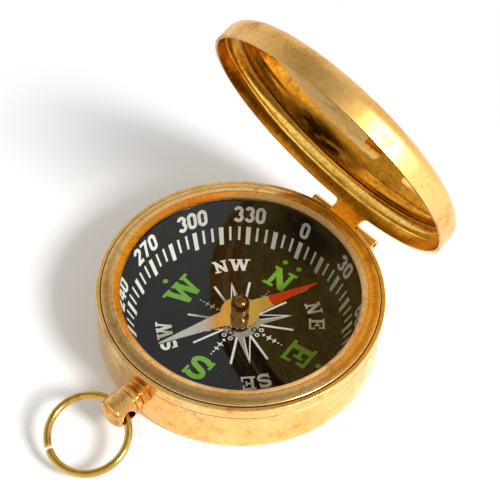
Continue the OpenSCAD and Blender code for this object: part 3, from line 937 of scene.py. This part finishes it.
@dataclass
class Dial:
    """The printed dial, the conical degree ring round it, and all their print.

    In the names of the sizes, r is a radius, w a width, h a height along the print, d a diameter, z a
    height above the table and pen a stroke's width. Bearings are degrees clockwise from the dial's
    north, which lies north degrees from +X. The card is printed card_off from its middle, and skewed.
    """

    north: float = 101.92
    card_off: Flat = (0.04, 0.32)
    card_skew: float = 0.024
    slope: float = 65.6
    wall: float = 0.4
    ink: float = 0.02
    middle_z: float = 5.0
    tick_top_z: float = 4.1
    tick_thin_z: float = 1.8
    tick_thick_z: float = 1.15
    tick_thin_w: float = 0.42
    tick_thick_w: float = 0.8
    digit_low_z: float = 4.82
    digit_high_z: float = 7.48
    digit_w: float = 1.07
    digit_pitch: float = 1.8
    digit_pen: float = 0.56
    cardinal_r: float = 11.1
    cardinal_h: float = 4.2
    cardinal_w: tuple[float, ...] = (4.25, 4.3, 3.95, 6.1)
    half_r: float = 12.05
    half_h: float = 2.5
    half_w: tuple[float, ...] = (2.35, 2.2, 2.15, 3.6)
    dot_r: float = 14.7
    dot_d: float = 0.9
    dots: tuple[float, ...] = (-5.2, 5.2, 90.5, 269.5)
    half_winds: tuple[tuple[float, str], ...] = (
        (40.4, "N"), (56.0, "E"), (127.1, "S"), (138.9, "E"), (212.4, "S"), (226.3, "W"), (309.1, "N"), (324.0, "W"))
    ray_r: float = 8.45
    ray_w: float = 0.38
    ray_turn: float = 25.0
    kite_foot: float = 0.2
    kite_r: float = 8.3
    kite_waist: Flat = (1.0, 3.0)
    kite_pen: float = 0.2
    spine_pen: float = 0.16
    hub_r: float = 3.1
    hub_share: float = 0.8
    eye_at: float = 2.65
    eye_r: float = 0.4
    eye_pen: float = 0.22
    ring_at: Flat = (0.6, 3.6)
    ring_r: float = 0.3
    ring_pen: float = 0.17
    crosses: tuple[Flat, ...] = ((4.45, 0.26), (5.45, 0.48), (6.45, 0.36))
    cross_pen: float = 0.2
    cross_wide: float = 1.2
    beads: tuple[Flat, ...] = ((7.2, 0.16), (7.8, 0.13))
    patterns: dict[str, Piece] = field(default_factory=dict)

    def __post_init__(self) -> None:
        """Read the cone and the dial's level from the CAD frame."""
        low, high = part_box("degree_ring")
        self.foot_z = low.z / MM
        top_r = high.x / MM - self.wall
        self.foot_r = top_r - (high.z / MM - self.foot_z) / math.tan(math.radians(self.slope))

    def azimuth(self, bearing: float) -> float:
        """Angle from +X, in radians, of a compass bearing in degrees."""
        return math.radians(self.north - bearing)

    def on_cone(self, bearing: float) -> Place:
        """Give the mapping that lays flat print on the cone.

        Args:
            bearing: The bearing at the print's x = 0.

        Returns:
            A mapping from x along the ring and y as the height above the table.
        """
        slope = math.radians(self.slope)

        def place(x: float, y: float) -> Vector:
            """Lay one point on the cone, an ink's thickness off it.

            Args:
                x: Distance along the ring, clockwise.
                y: Height above the table.

            Returns:
                The point, in metres.
            """
            radius = self.foot_r + (y - self.foot_z) / math.tan(slope) - self.ink * math.sin(slope)
            middle = self.foot_r + (self.middle_z - self.foot_z) / math.tan(slope)
            angle = self.azimuth(bearing) - x / middle
            z = y + self.ink * math.cos(slope)
            return Vector((radius * math.cos(angle), radius * math.sin(angle), z)) * MM

        return place

    def on_disc(self, bearing: float, lift: Lift = Lift.FLAT) -> Place:
        """Give the mapping that lays flat print on the dial.

        Args:
            bearing: The bearing that the print's y axis points to.
            lift: How many inks thick the print lies above the dial.

        Returns:
            A mapping from x to the right and y outwards from the middle.
        """
        angle = self.azimuth(bearing)
        outward = Vector((math.cos(angle), math.sin(angle)))
        top = self.azimuth(0)
        north = Vector((math.cos(top), math.sin(top)))
        east = Vector((north.y, -north.x))

        def place(x: float, y: float) -> Vector:
            """Lay one point on the dial, with the card's small skew.

            Args:
                x: Distance to the right of the bearing.
                y: Distance outwards along the bearing.

            Returns:
                The point, in metres.
            """
            spot = Vector((outward.x * y + outward.y * x, outward.y * y - outward.x * x))
            across, up = spot.dot(east), spot.dot(north)
            flat = (east * (self.card_off[0] + across + self.card_skew * up)
                    + north * (self.card_off[1] + up + self.card_skew * across))
            return Vector((flat.x, flat.y, self.foot_z + self.ink * lift)) * MM

        return place

    def pattern(self, sign: str) -> Piece:
        """Build a sign's flat pattern once.

        Args:
            sign: A digit or one of N, E, S, W.

        Returns:
            The pattern, in a box one millimetre wide and one or two high.
        """
        if sign not in self.patterns:
            parts = [stroke.make(f"sign_{sign}_{i}", i) for i, stroke in enumerate(signs()[sign])]
            self.patterns[sign] = joined("sign_" + sign, parts)
        return self.patterns[sign]

    def ticks(self, finish: Material) -> None:
        """Print the five-degree ticks, thick at every fifteenth degree.

        Args:
            finish: The ink.
        """
        thin = plate("tick_thin", self.bar(self.tick_thin_w, self.tick_thin_z, self.tick_top_z))
        thick = plate("tick_thick", self.bar(self.tick_thick_w, self.tick_thick_z, self.tick_top_z))
        made = [copy_placed(thin if d % 15 else thick, self.on_cone(d)) for d in range(0, 360, 5)]
        remove([thin, thick])
        dress(joined("degree_ticks", made), Body.CASE, Slot.PRINTED_BLACK, finish)

    @staticmethod
    def bar(width: float, low: float, high: float) -> list[Flat]:
        """Corners of an upright bar, middled on x = 0."""
        return [(-width / 2, low), (width / 2, low), (width / 2, high), (-width / 2, high)]

    def numerals(self, finish: Material) -> None:
        """Print the degrees, a number at every thirtieth.

        Args:
            finish: The ink.
        """
        made = []
        tall = (self.digit_high_z - self.digit_low_z) / math.sin(math.radians(self.slope)) - self.digit_pen
        rise = tall / 2 * math.sin(math.radians(self.slope))
        low = self.digit_low_z + self.digit_pen / 2
        for bearing in range(0, 360, 30):
            label = str(bearing)
            for i, sign in enumerate(label):
                shift = (i - (len(label) - 1) / 2) * self.digit_pitch - self.digit_w / 2
                cone = self.on_cone(bearing)
                made.append(copy_placed(self.pattern(sign), lambda x, y, s=shift, c=cone: c(
                    s + x * self.digit_w, low + y * rise)))
        dress(joined("degree_numerals", made), Body.CASE, Slot.PRINTED_BLACK, finish)

    def letters(self, green: Material, cream: Material) -> None:
        """Print the eight winds and the dots over the cardinal letters.

        Args:
            green: The ink of the cardinal letters.
            cream: The ink of the others.
        """
        widths = dict(zip("NESW", self.cardinal_w))
        made = [self.letter(sign, 90 * i, self.cardinal_r, widths[sign], self.cardinal_h)
                for i, sign in enumerate("NESW")]
        dot = plate("dot", circle(0, 0, self.dot_d / 2, 16))
        for bearing in self.dots:
            disc = self.on_disc(bearing)
            made.append(copy_placed(dot, lambda x, y, d=disc: d(x, self.dot_r + y)))
        remove([dot])
        dress(joined("cardinal_letters", made), Body.CASE, Slot.PRINTED_BLACK, green)
        widths = dict(zip("NESW", self.half_w))
        made = [self.letter(sign, bearing, self.half_r, widths[sign], self.half_h)
                for bearing, sign in self.half_winds]
        dress(joined("half_wind_letters", made), Body.CASE, Slot.PRINTED_BLACK, cream)

    def letter(self, sign: str, bearing: float, radius: float, width: float, height: float) -> Piece:
        """Lay one letter on the dial, its middle at a radius and its top outwards along a bearing."""
        disc = self.on_disc(bearing)
        return copy_placed(self.pattern(sign), lambda x, y: disc((x - 0.5) * width, radius + (y - 0.5) * height))

    def four(self, shape: Piece, first: float, lift: Lift) -> list[Piece]:
        """Lay four copies of a flat shape a quarter turn apart, from a first bearing."""
        return [copy_placed(shape, self.on_disc(first + 90 * i, lift)) for i in range(4)]

    def rays(self) -> list[Piece]:
        """Draw the thin rays on both sides of each cardinal.

        Returns:
            The eight rays.
        """
        ray = plate("ray", self.bar(self.ray_w, self.hub_r * self.hub_share, self.ray_r))
        made = [copy_placed(ray, self.on_disc(90 * i + side * self.ray_turn)) for i in range(4) for side in (-1, 1)]
        remove([ray])
        return made

    def kites(self) -> tuple[list[Piece], list[Piece]]:
        """Draw the four kites and the hub.

        Returns:
            The filled halves with the hub, and the outlines with their spines.
        """
        waist_w, waist_r = self.kite_waist
        foot, tip = (0, self.kite_foot), (0, self.kite_r)
        half = plate("kite_half", [foot, (waist_w, waist_r), tip])
        outline = Stroke([tip, (-waist_w, waist_r), foot], self.kite_pen).make("kite_line")
        spine = Stroke([foot, tip], self.spine_pen).make("kite_spine")
        filled = self.four(half, 45, Lift.KITE)
        lines = self.four(outline, 45, Lift.LINE) + self.four(spine, 45, Lift.LINE)
        hub = plate("hub", circle(0, 0, self.hub_r, 45))
        filled.append(copy_placed(hub, self.on_disc(0, Lift.HUB)))
        remove([half, outline, spine, hub])
        return filled, lines

    def chain(self) -> Piece:
        """Draw the ornament towards a cardinal: two rings, three crosses and two beads.

        Returns:
            The ornament's pattern.
        """
        (across, up), parts = self.ring_at, []
        for side in (-1, 1):
            parts.append(Stroke(circle(side * across, up, self.ring_r, 16), self.ring_pen, True).make("ring"))
        for y, r in self.crosses:
            wide = r * self.cross_wide
            parts.append(Stroke([(-wide, y), (wide, y)], self.cross_pen).make("cross_bar"))
            parts.append(Stroke([(0, y - r), (0, y + r)], self.cross_pen).make("cross_post", 1))
            parts.append(plate("cross_heart", circle(0, y, r / 2, 12), 2 * LAYER))
        parts += [plate("bead", circle(0, y, r, 12)) for y, r in self.beads]
        return joined("chain", parts)

    def rose(self, cream: Material, grey: Material, black: Material) -> None:
        """Print the rays, the half-filled kites, the hub and the ornament towards the cardinals.

        Args:
            cream: The thick ink.
            grey: The thin ink of the kites and the hub.
            black: The card's black, for the eyes in the hub.
        """
        rays = self.rays()
        filled, lines = self.kites()
        eye = Stroke(circle(0, self.eye_at, self.eye_r, 20), self.eye_pen, True).make("eye")
        eyes = self.four(eye, 0, Lift.EYE)
        chain = self.chain()
        chains = self.four(chain, 0, Lift.CHAIN)
        remove([eye, chain])
        for name, parts, finish in (("rose_rays", rays + lines, cream), ("rose_kites", filled, grey),
                                    ("rose_chains", chains, cream), ("rose_eyes", eyes, black)):
            dress(joined(name, parts), Body.CASE, Slot.PRINTED_BLACK, finish)

    def build(self, finishes: Finishes) -> None:
        """Build and dress the dial with its print.

        Args:
            finishes: The compass's materials.
        """
        stand_in("degree_ring", Body.CASE, Slot.PRINTED_BLACK, finishes.black)
        stand_in("dial_disc", Body.CASE, Slot.PRINTED_BLACK, finishes.black)
        stand_in("dial_backing", Body.CASE, Slot.CASE_BRASS, finishes.case)
        stand_in("pivot_boss", Body.CASE, Slot.TURNED_BRASS, finishes.cap)
        stand_in("pivot_pin", Body.CASE, Slot.STEEL, finishes.steel)
        self.ticks(finishes.cream)
        self.numerals(finishes.cream)
        self.letters(finishes.green, finishes.cream)
        self.rose(finishes.cream, finishes.grey, finishes.black)
        remove(self.patterns.values())


@dataclass
class Needle:
    """The lozenge needle with its red north arm, cap and jewel.

    The lacquer starts lacquer_from the middle, in a notch, and leaves a hair of metal bare round it.
    """

    turn: float = -16.8
    lacquer_from: float = 5.35
    lacquer_notch: float = 0.25
    length: float = 28.2
    root_w: float = 2.8
    tip_w: float = 0.25
    disc_r: float = 3.1
    coat: float = 0.02
    bare_edge: float = 0.02
    bare_tip: float = 0.03

    def build(self, finishes: Finishes) -> None:
        """Build and dress the needle.

        Args:
            finishes: The compass's materials.
        """
        stand_in("needle", Body.NEEDLE, Slot.NEEDLE_BRASS, finishes.needle)
        stand_in("needle_cap", Body.NEEDLE, Slot.TURNED_BRASS, finishes.cap)
        stand_in("needle_jewel", Body.NEEDLE, Slot.JEWEL, finishes.ruby)
        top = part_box("needle")[1].z / MM
        tip = self.length / 2
        root = math.sqrt(self.disc_r ** 2 - self.root_w ** 2 / 4)

        def half(u: float) -> float:
            """Half the arm's width at a distance from the middle."""
            share = (u - root) / (tip - root)
            return self.root_w / 2 + (self.tip_w - self.root_w) / 2 * share - self.bare_edge

        near = self.lacquer_from
        far = near + self.lacquer_notch
        end = tip - self.bare_tip
        flat = plate("north_lacquer", [(half(far), far), (half(end), end), (-half(end), end), (-half(far), far),
                                       (0, near)])
        angle = math.radians(90 + self.turn)

        def place(x: float, y: float) -> Vector:
            """Lay one point on the needle's top."""
            return Vector((math.cos(angle) * y + math.sin(angle) * x,
                           math.sin(angle) * y - math.cos(angle) * x, top + self.coat)) * MM

        coat = copy_placed(flat, place)
        remove([flat])
        dress(joined("north_arm_lacquer", [coat]), Body.NEEDLE, Slot.NEEDLE_BRASS, finishes.red)


@dataclass
class Lid:
    """The spun lid with its hinge.

    The hinge's axis is given as y and z, and hollow_z is a level inside the lid when it is closed.
    """

    case_nodes: tuple[str, ...] = ("case_knuckle_left", "case_knuckle_right")
    hinge: Flat = (23.4, 8.3)
    open_angle: float = 67.2
    hollow_z: float = 12.4
    roof_cosine: float = 0.9

    def build(self, finishes: Finishes) -> None:
        """Build and dress the lid, its inside apart from its outside, and the hinge.

        Args:
            finishes: The compass's materials.
        """
        shell = stand_in("lid_shell", Body.LID, Slot.LID_BRASS, finishes.lid)
        angle = math.radians(self.open_angle)
        back, up = -self.hinge[0], self.hollow_z - self.hinge[1]
        middle = Vector((0, self.hinge[0] + back * math.cos(angle) + up * math.sin(angle),
                         self.hinge[1] - back * math.sin(angle) + up * math.cos(angle))) * MM
        down = Vector((0, -math.sin(angle), -math.cos(angle)))
        refinish(shell, finishes.lid_wall, lambda face: face.normal.dot(middle - face.center) > 0)
        roof = refinish(shell, finishes.lid_roof, lambda face: face.normal.dot(down) > self.roof_cosine
                        and (face.center - middle).dot(down) < 0)
        level_shading(shell, roof, down)
        stand_in("lid_knuckle", Body.LID, Slot.LID_BRASS, finishes.lid)
        for node in self.case_nodes:
            stand_in(node, Body.CASE, Slot.CASE_BRASS, finishes.case)
        stand_in("hinge_pin", Body.CASE, Slot.STEEL, finishes.steel)


@dataclass
class Pendant:
    """The turned pendant and the split bow ring in it."""

    def build(self, finishes: Finishes) -> None:
        """Build and dress the pendant and its ring.

        Args:
            finishes: The compass's materials.
        """
        stand_in("pendant_washer", Body.CASE, Slot.TURNED_BRASS, finishes.knob)
        stand_in("pendant_knob", Body.CASE, Slot.TURNED_BRASS, finishes.knob)
        stand_in("pendant_stud", Body.CASE, Slot.STEEL, finishes.steel)
        stand_in("pendant_nut", Body.CASE, Slot.STEEL, finishes.steel)
        stand_in("bow_ring", Body.BOW, Slot.CASE_BRASS, finishes.wire)


@dataclass
class Studio:
    """A pale floor, soft light from the right and the camera.

    The softbox's distance and size, the floor's size, where it fades to blank white and where the
    camera's view begins are metres.
    """

    azimuth: float = 43.56
    elevation: float = 50.60
    roll: float = 3.77
    distance: float = 211.71
    target: Spot = (-7.13, 8.90, 6.0)
    focal_px: float = 1294.67
    frame_px: float = 500.0
    sensor: float = 36.0
    key_from: Spot = (0.77, 0.10, 0.63)
    key_far: float = 1.2
    key_size: float = 0.36
    key_power: float = 13.4
    sky: float = 0.74
    shine: float = 1.0
    bright_way: Spot = (0.725, 0.689, 0.0)
    wall_tones: tuple[tuple[float, str], ...] = ((0.0, "#7e7d7c"), (0.5, "#d1d1d0"), (1.0, "#f8f7f5"))
    dark_way: Spot = (-0.30, -0.15, 0.94)
    mirrored_tones: tuple[tuple[float, str], ...] = (
        (0.0, "#ffffff"), (0.5, "#eeeef1"), (0.78, "#dededf"), (0.87, "#c4c4c6"), (1.0, "#949496"))
    horizon: tuple[float, float, float] = (0.02, 0.22, -0.6)
    floor_size: float = 3.0
    paper_tones: tuple[tuple[float, str], ...] = ((0.3, "#e6e6e8"), (0.7, "#ececee"))
    fibre_mm: float = 1.5
    floor_glow: float = 0.12
    fade_from: float = 0.035
    fade_to: float = 0.078
    clip_from: float = 0.01

    def camera(self) -> None:
        """Place the camera at the photograph's angle."""
        az, el, roll = (math.radians(v) for v in (self.azimuth, self.elevation, self.roll))
        forward = Vector((-math.sin(az) * math.cos(el), math.cos(az) * math.cos(el), -math.sin(el)))
        flat_right = Vector((math.cos(az), math.sin(az), 0))
        flat_up = flat_right.cross(forward)
        right = math.cos(roll) * flat_right + math.sin(roll) * flat_up
        up = -math.sin(roll) * flat_right + math.cos(roll) * flat_up
        place = (Vector(self.target) - self.distance * forward) * MM
        deselect()
        bpy.ops.object.camera_add(location=place)
        camera = bpy.context.object
        camera.matrix_world = Matrix((
            (right.x, up.x, -forward.x, place.x), (right.y, up.y, -forward.y, place.y),
            (right.z, up.z, -forward.z, place.z), (0, 0, 0, 1)))
        camera.data.sensor_width = self.sensor
        camera.data.lens = self.focal_px / self.frame_px * self.sensor
        camera.data.clip_start = self.clip_from
        bpy.context.scene.camera = camera

    def lamps(self) -> None:
        """Light the object with one softbox, and call up the room."""
        way = Vector(self.key_from).normalized()
        deselect()
        bpy.ops.object.light_add(type="AREA", location=way * self.key_far)
        key = bpy.context.object
        key.name = "key_softbox"
        key.data.shape = "DISK"
        key.data.size = self.key_size
        key.data.energy = self.key_power
        key.rotation_euler = way.to_track_quat("Z", "Y").to_euler()
        self.room()

    def room(self) -> None:
        """Build the room: soft and brighter on one side, white to the camera, with a darker patch to mirror."""
        world = bpy.data.worlds.new("studio_room")
        bpy.context.scene.world = world
        world.use_nodes = True
        world.node_tree.nodes.clear()
        path = add_node(world, "LightPath")
        seen = add_node(world, "Math", {"0": path.outputs["Is Camera Ray"],
                                        "1": path.outputs["Is Transmission Ray"]}, operation="MAXIMUM")
        way = add_node(world, "TexCoord").outputs["Generated"]
        side = add_node(world, "VectorMath", {"0": way}, operation="DOT_PRODUCT", **{"1": self.bright_way})
        half = add_node(world, "MapRange", {"Value": side.outputs["Value"]}, From_Min=-1.0, From_Max=1.0)
        wall = add_node(world, "ValToRGB", {"Fac": half.outputs["Result"]})
        set_ramp(wall, self.wall_tones)
        room = add_node(world, "Background", {"Color": wall.outputs["Color"]}, Strength=self.sky)
        white = add_node(world, "Background", Strength=1.0, Color=linear(WHITE))
        toward = add_node(world, "VectorMath", {"0": way}, operation="DOT_PRODUCT", **{"1": self.dark_way})
        height = add_node(world, "SeparateXYZ", {"Vector": way})
        low, high, lift = self.horizon
        level = add_node(world, "MapRange", {"Value": height.outputs["Z"]}, From_Min=low, From_Max=high,
                         To_Min=lift, To_Max=0.0)
        total = add_node(world, "Math", {"0": toward.outputs["Value"], "1": level.outputs["Result"]},
                         operation="ADD")
        shade = add_node(world, "ValToRGB", {"Fac": total.outputs[0]})
        set_ramp(shade, self.mirrored_tones)
        glossy = add_node(world, "Background", {"Color": shade.outputs["Color"]}, Strength=self.shine)
        shine = add_node(world, "MixShader", {"Fac": path.outputs["Is Glossy Ray"], "1": room.outputs[0],
                                              "2": glossy.outputs[0]})
        both = add_node(world, "MixShader", {"Fac": seen.outputs[0], "1": shine.outputs[0],
                                             "2": white.outputs[0]})
        add_node(world, "OutputWorld", {"Surface": both.outputs[0]})

    def floor(self) -> None:
        """Lay the pale floor, which keeps the object's shadow."""
        deselect()
        bpy.ops.mesh.primitive_plane_add(size=self.floor_size, location=(0, 0, 0))
        floor = bpy.context.object
        floor.name = "studio_floor"
        floor.data.materials.append(self.paper())

    def paper(self) -> Material:
        """Make white paper that the camera sees a little brighter, and blank white farther off.

        Returns:
            The floor's material.
        """
        m = new_material("white_paper_sweep")
        path = add_node(m, "LightPath")
        spot = add_node(m, "TexCoord").outputs["Object"]
        fibre = add_node(m, "TexNoise", {"Vector": spot}, Scale=1000 / self.fibre_mm, Detail=3.0)
        tone = add_node(m, "ValToRGB", {"Fac": fibre.outputs["Fac"]})
        set_ramp(tone, self.paper_tones)
        seen = add_node(m, "Math", {"0": path.outputs["Is Camera Ray"], "1": path.outputs["Is Glossy Ray"]},
                        operation="MAXIMUM").outputs[0]
        sheet = add_node(m, "Mix", {"Factor": seen, "6": tone.outputs["Color"]}, data_type="RGBA",
                         **{"7": linear(WHITE)})
        plain_paper = add_node(m, "BsdfDiffuse", {"Color": sheet.outputs[2]})
        glow = add_node(m, "Math", {"0": seen}, operation="MULTIPLY", **{"1": self.floor_glow})
        lift = add_node(m, "Emission", {"Strength": glow.outputs[0]}, Color=linear(WHITE))
        both = add_node(m, "AddShader", {"0": plain_paper.outputs[0], "1": lift.outputs[0]})
        away = add_node(m, "VectorMath", {"0": spot}, operation="LENGTH")
        fade = add_node(m, "MapRange", {"Value": away.outputs["Value"]}, From_Min=self.fade_from,
                        From_Max=self.fade_to, interpolation_type="SMOOTHSTEP")
        far = add_node(m, "Math", {"0": fade.outputs["Result"], "1": path.outputs["Is Camera Ray"]},
                       operation="MULTIPLY")
        blank = add_node(m, "Emission", Strength=1.0, Color=linear(WHITE))
        return close_surface(m, add_node(m, "MixShader", {"Fac": far.outputs[0], "1": both.outputs[0],
                                                          "2": blank.outputs[0]}))

    def build(self) -> None:
        """Set up the floor, the light and the camera."""
        self.camera()
        self.lamps()
        self.floor()
        bpy.context.scene.view_settings.view_transform = "Standard"


def main() -> None:
    """Build the compass and its studio."""
    logging.basicConfig(level=logging.INFO, format="%(name)s: %(message)s")
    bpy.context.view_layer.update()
    Studio().build()
    finishes = Finishes()
    for part in (Case(), Dial(), Needle(), Lid(), Pendant()):
        part.build(finishes)


if __name__ == "__main__":
    main()
